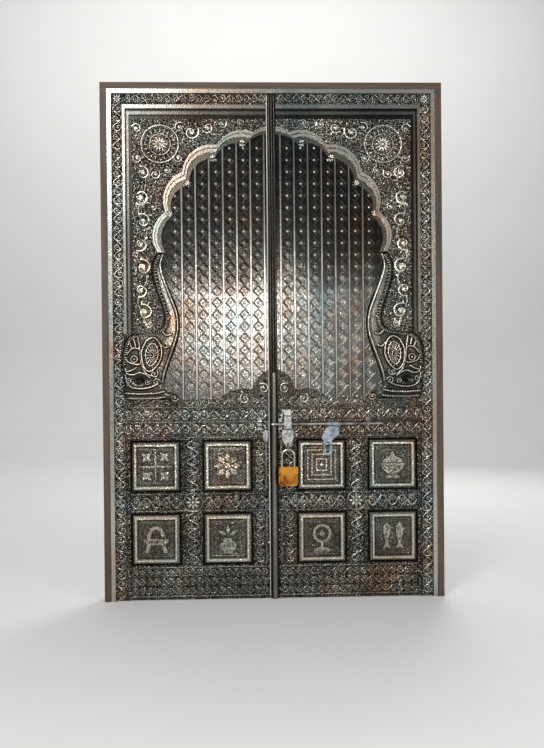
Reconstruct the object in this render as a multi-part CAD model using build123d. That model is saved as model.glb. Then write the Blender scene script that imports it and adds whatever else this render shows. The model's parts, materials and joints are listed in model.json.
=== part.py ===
from build123d import *
import os
from math import cos, pi

# A double-leaf temple door in its frame. Millimetres, +Z up, the front of the door faces -Y.
# X = 0 is the middle of the opening and Z = 0 is the foot of the jambs. Heights on the face are
# counted from the front of the timber cores towards the viewer. Both leaves open away from the viewer.

os.makedirs("parts", exist_ok=True)

# Opening and frame
opening_w = 1192.0
opening_h = 1890.0
jamb_w = 28.0
stop_lap = 10.0
stop_t = 12.0
stop_clear = 1.0
edge_gap = 3.0
floor_gap = 4.0
trim_w = 15.0
trim_t = 3.0
fixing_r = 5.5
fixing_count = 3
fixing_pitch = 800.0
fixing_foot = 150.0

# Leaf cores and the joint between the leaves
core_t = 38.0
joint_x = -18.0
joint_gap = 4.5
joint_bevel = 1.0

# Heights of the dressed front above the cores
margin_h = 9.0
board_t = 4.0
band_h = 15.0
spandrel_h = 12.0
rail_h = 16.0
stile_h = 12.0
slat_h = 14.0

# Border, inner moulding and the arched field
border_w = 50.0
side_moulding_w = 34.0
top_moulding_w = 53.0
bead_w = 4.0
bead_h = 3.0
field_foot = 750.0
head_line = 998.0

# Slats and the diagonal lattice between them
slat_count = 7
slat_pitch = 51.4
slat_first = 30.5
slat_w = 10.0
lattice_rise = 44.5
lattice_bar = 3.6
lattice_depth = 3.2

# Lower part with the raised panels
bottom_rail_top = 130.0
panel_h = 198.0
cross_rail_w = 75.0
muntin_w = 78.0
stile_w = 66.0
outer_stile_w = 16.0
bevel_start = 8.0
bevel_w = 14.0
panel_rim_h = 21.0
panel_rim_w = 9.0
panel_field_h = 13.0
motif_h = 3.5

# Ornament on the arched field
moulding_h = 10.0
outer_ridge_h = 9.0
inner_ridge_h = 6.0
medallion_at = (417, 1703)
design_w = 522
design_h = 1047
design_foot = 750
medallion_r = 72.0
medallion_rim = 10.0
ring_h = 5.0
vine_at = ((484, 1600), (492, 1500), (480, 1410), (494, 1330), (484, 1245), (496, 1165), (482, 1080))
vine_r = 22.0
lobe_flat_count = 5
arch_base_h = 15.0
arch_ridge_h = 23.0
slat_step = 4.0
body_h = 22.0
ear_line = ((428, 968), (474, 955), (488, 905), (462, 850), (436, 880), (420, 925))
ear_rise = 11.0
brow_rise = 6.0
brow_slope = 55
brow_at = (480, 885)
brow_half = (70, 90)
collar_z = (757, 777)
collar_band_w = 12.0
collar_rise = 4.0

# Meeting bars
bar_w = 30.0
bar_over_rod = 191.0
bar_base = 12.0
bar_r = 12.0
reed_r = 5.0
bar_end_gap = 2.0

# Hinges
hinge_r = 7.0
barrel_flat_count = 12
hinge_h = 120.0
hinge_plate_w = 64.0
hinge_plate_t = 3.0
hinge_clear = 0.5
knuckle_gap = 0.4
pin_r = 3.0
pin_clear = 0.06
hinge_centres = (300.0, 1600.0)

# Bolt, its guides and the hasp arm
rod_r = 6.0
rod_clear = 0.08
rod_over_rail = 56.0
rod_h = 36.0
rod_end = 406.0
rod_tip_back = 5.0
bolt_throw = 50.0
bolt_short = 2.0
guide_w = 12.0
guide_wall = 4.0
guide_foot = 44.0
guide_plate_t = 3.0
guide_at = (22.0, 350.0)
keeper_w = 16.0
keeper_clear = 1.0
collar_r = 9.0
collar_w = 3.0
collar_gap = 0.4
arm_at = 219.0
arm_eye_w = 42.0
arm_eye_r = 11.0
arm_t = 4.0
arm_drop = 90.0
loop_w = 34.0
loop_h = 64.0
loop_slot_w = 14.0
loop_wall = 11.0

# Lock plate with its eye, and the padlock
plate_x = 50.0
plate_neck_w = 26.0
plate_wide_w = 42.0
plate_over_rod = 52.0
plate_t = 3.0
plate_foot = 20.0
plate_gap = 1.5
shield_below_rod = 23.0
shield_h = 68.0
eye_below_rod = 95.0
eye_h = 37.0
eye_r = 4.5
eye_wall = 5.0
eye_t = 6.0
shackle_r = 4.0
shackle_span = 46.0
shackle_leg = 40.0
shackle_bend_count = 9
leg_in_short = 11.0
leg_in_long = 30.0
leg_clear = 0.1
lock_w = 72.0
lock_height = 72.0
lock_t = 26.0
lock_corner = 16.0
escutcheon_below_rod = 45.0
escutcheon_x = -33.0
escutcheon_w = 20.0
escutcheon_h = 48.0
escutcheon_t = 3.0

# Lines worked out from the sizes above
half_w = opening_w / 2
leaf_edge = half_w + stop_lap
jamb_in = leaf_edge + edge_gap
jamb_out = jamb_in + jamb_w
leaf_top = opening_h + stop_lap
head_in = leaf_top + edge_gap
head_out = head_in + jamb_w
stop_back = margin_h + stop_clear
stop_front = stop_back + stop_t
border_in = leaf_edge - border_w
border_low = leaf_top - border_w
field_out = border_in - side_moulding_w
field_top = border_low - top_moulding_w
left_start = -(joint_x - joint_gap / 2)
right_start = joint_x + joint_gap / 2
dress_start = {"left": left_start, "right": right_start + bar_w}
core_start = {"left": left_start, "right": right_start}
stile_out = bar_w / 2 + stile_w
panel_out = border_in - outer_stile_w
panel_w = (panel_out - muntin_w - stile_out) / 2
panel_x = (stile_out + panel_w / 2, panel_out - panel_w / 2)
cross_low = bottom_rail_top + panel_h
cross_top = cross_low + cross_rail_w
rail_low = cross_top + panel_h
panel_z = (bottom_rail_top + panel_h / 2, cross_top + panel_h / 2)
rod_z = rail_low + rod_over_rail
bar_split = rod_z + bar_over_rod
plate_top = rod_z + plate_over_rod
shield_top = rod_z - shield_below_rod
shield_foot = shield_top - shield_h
eye_z = rod_z - eye_below_rod
escutcheon_z = rod_z - escutcheon_below_rod
hinge_x = (leaf_edge + jamb_in) / 2
hinge_axis = core_t + hinge_clear + hinge_r
shackle_bend = shackle_span / 2
lock_top = eye_z - shackle_bend - shackle_leg
rod_tip = right_start + rod_tip_back
keeper_x = rod_tip - bolt_throw - bolt_short + keeper_w / 2
back_reach = hinge_axis + hinge_r
front_reach = eye_h + lock_t / 2
mid_y = (front_reach - back_reach) / 2

# The face of the door as a drawing plane: x across, y up, and out towards the viewer
face_plane = Plane(origin=(0, mid_y, 0), x_dir=(1, 0, 0), z_dir=(0, -1, 0))


def raised(shape, low, high, taper=0):
    """A flat shape drawn on the door's face, standing between two heights above the cores."""
    return extrude(face_plane.offset(low) * shape, amount=high - low, taper=taper)


def rect(x0, x1, z0, z1):
    """A rectangle between two x values and two z values."""
    return Pos((x0 + x1) / 2, (z0 + z1) / 2) * Rectangle(x1 - x0, z1 - z0)


def along_x(profile, x0, x1):
    """A profile drawn as (height, z), run across the door between two x values."""
    plane = Plane(origin=(x1, mid_y, 0), x_dir=(0, -1, 0), z_dir=(-1, 0, 0))
    return extrude(plane * profile, amount=x1 - x0)


def across(radius, x0, x1, z, height):
    """A round bar or hole that runs across the door at a height above the cores."""
    return Pos((x0 + x1) / 2, mid_y - height, z) * Cylinder(radius, x1 - x0, rotation=(0, 90, 0))


def flats(radius, count=8):
    """A forged outline with even flats, one of them square to the door."""
    return Rot(0, 0, 180 / count) * RegularPolygon(radius, count)


def on_side(side, shape):
    """Shapes are drawn for the right leaf and mirrored for the left one."""
    return shape if side == "right" else mirror(shape, Plane.YZ)


def box(x0, x1, y0, y1, z0, z1):
    """A box between two values on each axis, with y counted back from the front of the cores."""
    return Pos((x0 + x1) / 2, mid_y + (y0 + y1) / 2, (z0 + z1) / 2) * Box(x1 - x0, y1 - y0, z1 - z0)


def save_on(side, name, *solids):
    """Writes one leaf's node, mirrored for the left leaf."""
    save(f"{side}_{name}", *[on_side(side, solid) for solid in solids])


def save(name, *solids):
    """Writes one node from one solid or a group of separate solids."""
    parts = [piece for solid in solids for piece in solid.solids()]
    export_step(parts[0] if len(parts) == 1 else Compound(children=parts), f"parts/{name}.step")


# The frame
def fixing_holes():
    """Horizontal holes through the jambs for the wall anchors."""
    tool = Cylinder(fixing_r, 2 * jamb_w, rotation=(0, 90, 0))
    middle = (jamb_in + jamb_out) / 2
    return [
        Pos(middle, mid_y + core_t / 3, fixing_foot + i * fixing_pitch) * tool
        for i in range(fixing_count)
    ]


def make_frame():
    jamb = raised(rect(jamb_in, jamb_out, 0, head_in), -core_t, stop_back) - fixing_holes()
    stop = raised(rect(half_w, jamb_out, 0, opening_h), stop_back, stop_front)
    for side in ("left", "right"):
        save(f"{side}_jamb", on_side(side, jamb))
        save(f"{side}_stop", on_side(side, stop))
    save("head", raised(rect(-jamb_out, jamb_out, head_in, head_out), -core_t, stop_back))
    save("head_stop", raised(rect(-jamb_out, jamb_out, opening_h, head_out), stop_back, stop_front))
    side_trim = raised(rect(half_w, half_w + trim_w, 0, opening_h), stop_front, stop_front + trim_t)
    across_head = rect(-half_w - trim_w, half_w + trim_w, opening_h, opening_h + trim_w)
    head_trim = raised(across_head, stop_front, stop_front + trim_t)
    save("frame_trim", side_trim, on_side("left", side_trim), head_trim)


# The outline of the arched field
def at(u, z):
    """A point of the field's design, fitted to the field of this door."""
    return (u * field_out / design_w, field_foot + (z - design_foot) * (field_top - field_foot) / design_h)


# Each lobe of the arch runs from one cusp over its crown to the next cusp
arch_outer = (
    (-8, 1768), (34, 1765), (62, 1748), (134, 1755), (203, 1702), (290, 1683),
    (336, 1603), (396, 1545), (400, 1450), (449, 1368), (430, 1300),
)
arch_inner = (
    (-8, 1740), (50, 1735), (96, 1705), (160, 1703), (215, 1650), (281, 1628),
    (308, 1551), (368, 1515), (371, 1440), (415, 1370), (401, 1300),
)


def arch_points(t):
    """The arch's line at a share t of the way from its outer edge to its inner edge."""
    return [
        at(a[0] + t * (b[0] - a[0]), a[1] + t * (b[1] - a[1]))
        for a, b in zip(arch_outer, arch_inner)
    ]


def chords(curve, steps):
    """A curve cut into even flats, as a hand-carved edge is."""
    return Polyline(*[curve @ (i / steps) for i in range(steps + 1)])


def lobes(points):
    """Arcs through the points, two steps at a time."""
    return [chords(ThreePointArc(*points[i:i + 3]), lobe_flat_count) for i in range(0, len(points) - 2, 2)]


def closed(*edges):
    """A face from edges that meet end to end."""
    return make_face(Wire([edge for line in edges for edge in line.edges()]))


def arch_band(t0, t1):
    """The strip of the arch between two shares of its width."""
    a = arch_points(t0)
    b = arch_points(t1)
    return closed(*lobes(a), Line(a[-1], b[-1]), *lobes(b[::-1]), Line(b[0], a[0]))


# The elephant: from the arch's outer foot down the trunk, over the head and back up the inner side
trunk_outer = ((430, 1300), (456, 1243), (440, 1160), (413, 1075), (414, 1028), (440, 1005), (500, 998))
head_back = ((500, 998), (548, 988), (566, 935), (571, 880), (559, 822), (560, 775), (545, 750))
foot_scroll = ((385, 750), (356, 742), (350, 764), (380, 778), (408, 812))
trunk_inner = (
    (408, 812), (398, 852), (366, 940), (347, 1010), (351, 1075), (378, 1150), (410, 1240), (401, 1300),
)


def run(points):
    """A smooth line through design points of the field."""
    return chords(Spline(*[at(*p) for p in points]), 2 * len(points) - 2)


def elephant_outline():
    return closed(
        run(trunk_outer), run(head_back), Line(at(*head_back[-1]), at(*foot_scroll[0])),
        run(foot_scroll), run(trunk_inner), Line(at(*trunk_inner[-1]), at(*trunk_outer[0])),
    )


# The wave along the top of the mid rail, from the middle of the door outwards
wave = ((-8, 864), (50, 842), (82, 788), (150, 785), (207, 752))


def wave_lines():
    points = [at(*p) for p in wave]
    return lobes(points) + [Line(points[-1], at(*foot_scroll[0]))]


def window_face():
    """What stays open between the arch, the elephant's inner side and the wave."""
    inner = arch_points(1)
    low = [at(*p) for p in wave]
    return closed(
        *lobes(inner), run(trunk_inner), run(foot_scroll), *wave_lines(), Line(low[0], inner[0])
    )


def ell(f0, f1):
    """An L along the top and the outer side of the inner moulding, between two shares of its width."""
    x0 = field_out + f0 * side_moulding_w
    x1 = field_out + f1 * side_moulding_w
    z0 = field_top + f0 * top_moulding_w
    z1 = field_top + f1 * top_moulding_w
    foot = at(0, head_line)[1]
    return rect(x0, x1, foot, z1) + rect(0, x1, z0, z1)


def border_ell(trim, edge):
    """An L along the top and the outer side of the border, held back from its two edges."""
    outer = leaf_edge - trim
    top = leaf_top - trim
    return rect(border_in + edge, outer, floor_gap, top) + rect(0, outer, border_low + edge, top)


def make_core(side):
    start = core_start[side]
    back = mid_y + core_t
    outline = Polyline(
        (start, mid_y), (leaf_edge, mid_y), (leaf_edge, back), (start - joint_bevel, back), close=True
    )
    return Pos(0, 0, floor_gap) * extrude(make_face(outline), amount=leaf_top - floor_gap)


def lattice_pockets():
    """Diamond pockets, one above the other, in each strip between two slats."""
    window = window_face()
    half_x = (slat_pitch - slat_w - lattice_bar) / 2
    half_z = (lattice_rise - lattice_bar) / 2
    diamond = make_face(Polyline((half_x, 0), (0, half_z), (-half_x, 0), (0, -half_z), close=True))
    floor = face_plane.offset(board_t - lattice_depth).location * Vertex(0, 0, 0)
    cell = loft([face_plane.offset(board_t) * diamond, floor])
    low = rail_low + lattice_rise
    rows = int((field_top - low) / lattice_rise)
    pockets = []
    for strip in range(slat_count):
        x = slat_first + (strip + 0.5) * slat_pitch
        for row in range(rows):
            z = low + (row + 0.5) * lattice_rise
            corners = [Vector(x, z + step * half_z * 0.6, 0) for step in (-1, 1)]
            if all(window.is_inside(corner) for corner in corners):
                pockets.append(Pos(x, 0, z) * cell)
    return pockets


def make_board():
    return raised(rect(0, border_in, rail_low, border_low), 0, board_t) - lattice_pockets()


def make_border():
    reach = stop_lap + stop_clear
    band = border_ell(reach, 0)
    border = raised(border_ell(0, 0), 0, margin_h) + raised(band, margin_h, band_h)
    border += raised(band - border_ell(reach + bead_w, 0), band_h, band_h + bead_h)
    border += raised(band - border_ell(reach, bead_w), band_h, band_h + bead_h)
    border += raised(rect(panel_out, border_in, floor_gap, rail_low), 0, band_h)
    return border - raised(elephant_outline(), band_h, band_h + bead_h)


def make_inner_moulding():
    moulding = raised(ell(0, 1), board_t, moulding_h)
    moulding += raised(ell(0.72, 0.98), moulding_h, moulding_h + outer_ridge_h)
    moulding += raised(ell(0.3, 0.52), moulding_h, moulding_h + inner_ridge_h)
    return moulding - raised(elephant_outline(), board_t, front_reach)


def make_spandrel():
    arch = arch_points(0)
    foot = at(0, head_line)[1]
    corner = (arch[0][0], foot)
    inside = closed(
        *lobes(arch), run(trunk_outer), Line(at(*trunk_outer[-1]), corner), Line(corner, arch[0])
    )
    sheet = raised(rect(0, field_out, foot, field_top) - inside - elephant_outline(), board_t, spandrel_h)
    centre = Pos(*at(*medallion_at))
    rim = RegularPolygon(medallion_r, 24) - RegularPolygon(medallion_r - medallion_rim, 24)
    sheet += raised(centre * rim, spandrel_h, spandrel_h + ring_h)
    sheet += raised(centre * RegularPolygon(medallion_r / 2, 16), spandrel_h, spandrel_h + ring_h, taper=30)
    for point in vine_at:
        scroll = Pos(*at(*point)) * RegularPolygon(vine_r, 8)
        sheet += raised(scroll, spandrel_h, spandrel_h + ring_h, taper=50)
    return sheet


def make_arch():
    moulding = raised(arch_band(0, 1), board_t, arch_base_h)
    moulding += raised(arch_band(0.06, 0.26), arch_base_h, arch_ridge_h)
    return moulding + raised(arch_band(0.36, 0.56), arch_base_h, arch_ridge_h)


def make_slats():
    """Battens with a narrower front, cut off at the arch, the elephant and the wave."""
    window = raised(window_face(), board_t, slat_h)
    slats = []
    for i in range(slat_count):
        x = slat_first + i * slat_pitch
        step = slat_h - slat_step
        wide = raised(rect(x - slat_w / 2, x + slat_w / 2, rail_low, field_top), board_t, step)
        narrow = raised(rect(x - slat_w / 4, x + slat_w / 4, rail_low, field_top), step, slat_h)
        slats.append((wide + narrow) & window)
    return slats


def make_elephant():
    outline = elephant_outline()
    inside = rect(0, border_in, rail_low, leaf_top)
    elephant = raised(outline & inside, board_t, band_h) + raised(outline, band_h, body_h)
    head = Pos(*at(*brow_at))
    brow = make_face(chords(Ellipse(*brow_half).edge(), 16))
    elephant += raised(head * brow, body_h, body_h + brow_rise, taper=brow_slope)
    ear = make_face(chords(Spline(*[at(*p) for p in ear_line], periodic=True), 12))
    elephant += raised(ear, body_h, body_h + ear_rise)
    for foot in collar_z:
        low = at(0, foot)[1]
        collar = outline & rect(0, jamb_in, low, low + collar_band_w)
        elephant += raised(collar, body_h, body_h + collar_rise)
    return elephant


def make_mid_rail():
    start = at(*wave[0])
    foot = at(*foot_scroll[0])
    outline = closed(
        *wave_lines(), Line(foot, (border_in, foot[1])), Line((border_in, foot[1]), (border_in, rail_low)),
        Line((border_in, rail_low), (start[0], rail_low)), Line((start[0], rail_low), start),
    )
    return raised(outline - elephant_outline(), board_t, rail_h)


# Auspicious signs on the sunk fields, drawn about the middle of a panel
def outline(*points):
    return make_face(Polyline(*points, close=True))


def both_ways(*points):
    """A shape that is the same on both sides, from the points of its right half, from the top down."""
    return outline(*points, *[(-x, z) for x, z in points[::-1] if x > 0])


def ring_of(shape, count, radius, turn=0):
    """Copies of a shape round the middle, each turned to face outwards."""
    return [Rot(0, 0, turn + 360 * i / count) * Pos(radius, 0) * shape for i in range(count)]


def rosette():
    petal = outline((-15, 0), (2, -11), (18, 0), (2, 11))
    return ring_of(petal, 8, 30) + [RegularPolygon(11, 8)]


def quartered_fret():
    leaf = outline((-12, 0), (0, -7), (14, 0), (0, 7))
    blossoms = [Pos(x, z) * piece for x in (-33, 33) for z in (-35, 35) for piece in ring_of(leaf, 4, 9, 45)]
    return [Rectangle(5, 128), Rectangle(122, 5)] + blossoms


def labyrinth():
    rings = [Rectangle(2 * r, 2 * r + 6) - Rectangle(2 * r - 10, 2 * r - 4) for r in (55, 38, 21)]
    return rings + [RegularPolygon(8, 4)]


def lidded_bowl():
    lid = both_ways((0, 46), (6, 40), (5, 34), (34, 16), (38, 6))
    bowl = both_ways((44, 2), (38, -18), (20, -34), (10, -38), (26, -48), (26, -54))
    return [lid, bowl]


def throne():
    back = both_ways((0, 52), (20, 42), (34, 16), (34, 4)) - both_ways((0, 38), (14, 30), (20, 14), (20, 4))
    seat = both_ways((46, 2), (46, -10), (34, -16), (42, -50), (28, -50), (20, -20))
    return [back, seat]


def leafy_pot():
    pot = both_ways((16, 2), (12, -6), (30, -20), (28, -38), (14, -50), (20, -56))
    leaf = outline((6, 0), (22, -7), (44, 0), (22, 7))
    return [pot] + [Pos(0, 10) * Rot(0, 0, turn) * leaf for turn in (30, 90, 150)]


def hand_mirror():
    glass = Pos(0, 14) * (RegularPolygon(36, 12) - RegularPolygon(26, 12))
    return [glass, both_ways((5, -20), (5, -36), (30, -44), (30, -54)), Pos(0, 14) * RegularPolygon(10, 8)]


def fish_pair():
    body = both_ways((0, 54), (13, 36), (12, 8), (4, -22), (14, -46))
    fish = body - outline((0, -40), (14, -47), (-14, -47))
    return [Pos(x, 0) * fish for x in (-24, 24)]


motifs = {
    ("left", "upper", "outer"): quartered_fret, ("left", "upper", "inner"): rosette,
    ("right", "upper", "inner"): labyrinth, ("right", "upper", "outer"): lidded_bowl,
    ("left", "lower", "outer"): throne, ("left", "lower", "inner"): leafy_pot,
    ("right", "lower", "inner"): hand_mirror, ("right", "lower", "outer"): fish_pair,
}


def make_panel(x, z, motif):
    """A raised panel: a flat edge, a bevel up to the rim, and a sunk field with its motif."""
    place = Pos(x, z)
    sunk_w = panel_w - 2 * (bevel_w + panel_rim_w)
    sunk_h = panel_h - 2 * (bevel_w + panel_rim_w)
    panel = raised(place * Rectangle(panel_w, panel_h), 0, bevel_start)
    panel += raised(place * Rectangle(panel_w - 6, panel_h - 6), bevel_start, panel_rim_h, taper=40)
    panel -= raised(place * Rectangle(sunk_w, sunk_h), panel_rim_h, panel_field_h, taper=35)
    for shape in motif:
        panel += raised(place * shape, panel_field_h, panel_field_h + motif_h)
    return panel


def make_lower_part(side):
    start = dress_start[side]
    muntin = (stile_out + panel_w, stile_out + panel_w + muntin_w)
    rows = ((bottom_rail_top, cross_low), (cross_top, rail_low))
    save_on(side, "bottom_rail", raised(rect(start, panel_out, floor_gap, bottom_rail_top), 0, stile_h))
    save_on(side, "cross_rail", raised(rect(start, panel_out, cross_low, cross_top), 0, stile_h))
    save_on(side, "meeting_stiles", *[raised(rect(start, stile_out, *row), 0, stile_h) for row in rows])
    save_on(side, "muntins", *[raised(rect(*muntin, *row), 0, stile_h) for row in rows])
    for row, z in zip(("lower", "upper"), panel_z):
        for column, x in zip(("inner", "outer"), panel_x):
            save_on(side, f"{row}_{column}_panel", make_panel(x, z, motifs[side, row, column]()))


def make_leaf(side, dressing):
    """One leaf: its core, the dressing that both leaves share, and the panelled lower part."""
    save_on(side, "core", make_core(side))
    room = raised(rect(dress_start[side], jamb_in, 0, leaf_top), 0, front_reach)
    for name, shapes in dressing.items():
        save_on(side, name, *[shape & room for shape in shapes])
    make_lower_part(side)


# The meeting bars, both on the right leaf
def make_bars():
    left = right_start
    right = left + bar_w
    middle = (left + right) / 2
    top = opening_h - bar_end_gap
    upper = raised(rect(left, right, bar_split, top), 0, bar_base)
    for step in (-1, 0, 1):
        x = middle + step * bar_w / 3.2
        upper += Pos(x, mid_y - bar_base, (bar_split + top) / 2) * Cylinder(reed_r, top - bar_split)
    save("upper_meeting_bar", upper)
    foot = floor_gap - bar_end_gap
    lower = raised(rect(left, right, foot, bar_split), 0, bar_base)
    lower += Pos(middle, mid_y - bar_base, (foot + bar_split) / 2) * Cylinder(bar_r, bar_split - foot)
    save("lower_meeting_bar", lower & box(left, right, -front_reach, 0, 0, bar_split))


# The hinges on the back, each with its pin fixed in the jamb's knuckle
def hinge_half(direction, z0, z1, centre):
    """A plate on the back face with its knuckle between z0 and z1, on the leaf (-1) or on the jamb (+1)."""
    near = hinge_x + direction * (hinge_r + hinge_clear)
    far = hinge_x - hinge_plate_w if direction < 0 else jamb_out - hinge_plate_t
    back = core_t + hinge_plate_t
    plate = box(min(near, far), max(near, far), core_t, back, centre - hinge_h / 2, centre + hinge_h / 2)
    tab_end = hinge_x + direction * pin_r
    plate += box(min(near, tab_end), max(near, tab_end), core_t, back, z0, z1)
    barrel = extrude(RegularPolygon(hinge_r, barrel_flat_count), amount=z1 - z0)
    return plate + Pos(hinge_x, mid_y + hinge_axis, z0) * barrel


def make_hinges(side):
    leaf_plates = []
    jamb_plates = []
    for z in hinge_centres:
        jamb_half = hinge_half(1, z - hinge_h / 2, z - knuckle_gap, z)
        pin_foot = z - knuckle_gap
        pin_end = z + hinge_h / 2
        pin = Cylinder(pin_r, pin_end - pin_foot)
        jamb_plates.append(jamb_half + Pos(hinge_x, mid_y + hinge_axis, (pin_foot + pin_end) / 2) * pin)
        leaf_half = hinge_half(-1, z, z + hinge_h / 2, z)
        hole = Cylinder(pin_r + pin_clear, 2 * hinge_h)
        leaf_plates.append(leaf_half - Pos(hinge_x, mid_y + hinge_axis, z) * hole)
    save_on(side, "hinge_leaf_plates", *leaf_plates)
    save_on(side, "hinge_jamb_plates", *jamb_plates)


# The bolt across the joint
def staple(x0, x1, clear):
    """A footed guide that holds the bolt over the mid rail, with the play that its eye leaves."""
    foot = rect(rail_h, rail_h + guide_plate_t, rod_z - guide_foot / 2, rod_z + guide_foot / 2)
    outer = rod_r + guide_wall
    body = rect(rail_h, rod_h, rod_z - outer, rod_z + outer)
    body += Pos(rod_h, rod_z) * flats(outer / cos(pi / 8))
    return along_x(foot + body, x0, x1) - across(rod_r + clear, x0, x1, rod_z, rod_h)


def make_bolt():
    rod = across(rod_r, rod_tip, rod_end, rod_z, rod_h)
    for side in (-1, 1):
        middle = arm_at + side * (arm_eye_w / 2 + collar_gap + collar_w / 2)
        rod += along_x(Pos(rod_h, rod_z) * flats(collar_r), middle - collar_w / 2, middle + collar_w / 2)
    save("bolt_rod", rod)
    save("bolt_guides", *[staple(x - guide_w / 2, x + guide_w / 2, rod_clear) for x in guide_at])
    save("bolt_keeper", staple(keeper_x - keeper_w / 2, keeper_x + keeper_w / 2, keeper_clear))


def long_ring(x, z0, z1, radius):
    """An upright strip with forged round ends."""
    end = RegularPolygon(radius, 10, major_radius=False)
    strip = rect(x - radius, x + radius, z0 + radius, z1 - radius)
    return Pos(x, z0 + radius) * end + Pos(x, z1 - radius) * end + strip


def make_arm():
    """The hasp arm: an eye round the rod, a plate down to the left and a slotted loop."""
    left = arm_at - arm_eye_w / 2
    right = arm_at + arm_eye_w / 2
    neck = rod_z - arm_drop + loop_h / 2
    side = loop_w / 2
    plate = make_face(Polyline(
        (left, rod_z), (right, rod_z), (right, neck + 18), (left + side, neck - 4), (left - side, neck - 4),
        (left - side - 6, neck + 6), (left - 6, rod_z - 2 * collar_r), (left, rod_z - 1.5 * collar_r),
        close=True,
    ))
    loop_foot = neck + 4 - loop_h
    loop = long_ring(left, loop_foot, neck + 4, side)
    slot = long_ring(left, loop_foot + loop_wall - 2, neck + 2 - loop_wall, loop_slot_w / 2)
    arm = raised(plate + loop - slot, rod_h - arm_t / 2, rod_h + arm_t / 2)
    arm += along_x(Pos(rod_h, rod_z) * flats(arm_eye_r), left, right)
    save("hasp_arm", arm - across(rod_r + rod_clear, left, right, rod_z, rod_h))


# The lock plate and the padlock
def make_lock_plate():
    over = rod_h + rod_r + plate_gap
    front = rail_h + plate_t
    bridge_top = plate_top - plate_foot
    strap = Polyline(
        (rail_h, plate_top), (rail_h, bridge_top), (over, bridge_top - 6), (over, shield_top + 8),
        (rail_h, shield_top), (rail_h, shield_foot), (front, shield_foot), (front, shield_top - 1),
        (over + plate_t, shield_top + 7), (over + plate_t, bridge_top - 4), (front, bridge_top + 2),
        (front, plate_top), close=True,
    )
    wide = plate_wide_w / 2
    bend = along_x(make_face(strap), plate_x - wide, plate_x + wide)
    foot = (plate_x, shield_foot)
    cheek = shield_foot + 30
    shield = make_face(Wire([
        Line((plate_x - wide, shield_top), (plate_x + wide, shield_top)),
        *chords(ThreePointArc((plate_x + wide, shield_top), (plate_x + wide * 0.9, cheek), foot), 6).edges(),
        *chords(ThreePointArc(foot, (plate_x - wide * 0.9, cheek), (plate_x - wide, shield_top)), 6).edges(),
    ]))
    neck = rect(plate_x - plate_neck_w / 2, plate_x + plate_neck_w / 2, shield_top, plate_top)
    plate = bend & raised(neck + shield, 0, front_reach)
    outer = eye_r + eye_wall
    lug_top = eye_z + outer + 14
    lug = rect(front, eye_h, eye_z, lug_top) + Pos(eye_h, eye_z) * flats(outer, 12)
    slope = make_face(Polyline(
        (front, lug_top), (eye_h + outer, lug_top), (eye_h + outer, eye_z + outer - 6), close=True
    ))
    plate += along_x(lug - slope, plate_x - eye_t / 2, plate_x + eye_t / 2)
    save("lock_plate", plate - across(eye_r, plate_x - eye_t / 2, plate_x + eye_t / 2, eye_z, eye_h))


def make_padlock():
    left = plate_x - shackle_bend
    right = plate_x + shackle_bend
    spring = eye_z - shackle_bend
    step = 180 / (shackle_bend_count + 1)
    bend_r = shackle_bend / cos(pi * step / 360)
    bend = [Vector(-bend_r, 0).rotate(Axis.Z, -(i + 0.5) * step) for i in range(shackle_bend_count + 1)]
    path = Polyline(
        (left, lock_top - leg_in_long), *[(plate_x + p.X, spring + p.Y) for p in bend],
        (right, lock_top - leg_in_short),
    )
    path = face_plane.offset(eye_h) * path
    start = Plane(origin=path @ 0, z_dir=path % 0)
    bar = start * RegularPolygon(shackle_r, 10)
    save("padlock_shackle", sweep(bar, path=path, transition=Transition.RIGHT))
    face = Pos(plate_x, lock_top - lock_height / 2) * Rectangle(lock_w, lock_height)
    low = face.vertices().sort_by(Axis.Y)[:2]
    body = raised(fillet(low, lock_corner), eye_h - lock_t / 2, eye_h + lock_t / 2)
    for x, depth in ((left, leg_in_long), (right, leg_in_short)):
        bore = Pos(x, mid_y - eye_h, lock_top - depth / 2) * Cylinder(shackle_r + leg_clear, depth + 1)
        body -= bore
    save("padlock_body", body)


make_frame()
dressing = {
    "field_board": [make_board()],
    "border": [make_border()],
    "inner_moulding": [make_inner_moulding()],
    "spandrel": [make_spandrel()],
    "arch": [make_arch()],
    "slats": make_slats(),
    "elephant": [make_elephant()],
    "mid_rail": [make_mid_rail()],
}
for leaf in ("left", "right"):
    make_leaf(leaf, dressing)
    make_hinges(leaf)
make_bars()
make_bolt()
make_arm()
make_lock_plate()
make_padlock()
oval = make_face(chords(Ellipse(escutcheon_w / 2, escutcheon_h / 2).edge(), 16))
save("escutcheon", raised(Pos(escutcheon_x, escutcheon_z) * oval, rail_h, rail_h + escutcheon_t))
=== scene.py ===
import bpy
import json
import math
import numpy as np
from mathutils import Euler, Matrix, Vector
from mathutils.bvhtree import BVHTree

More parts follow.
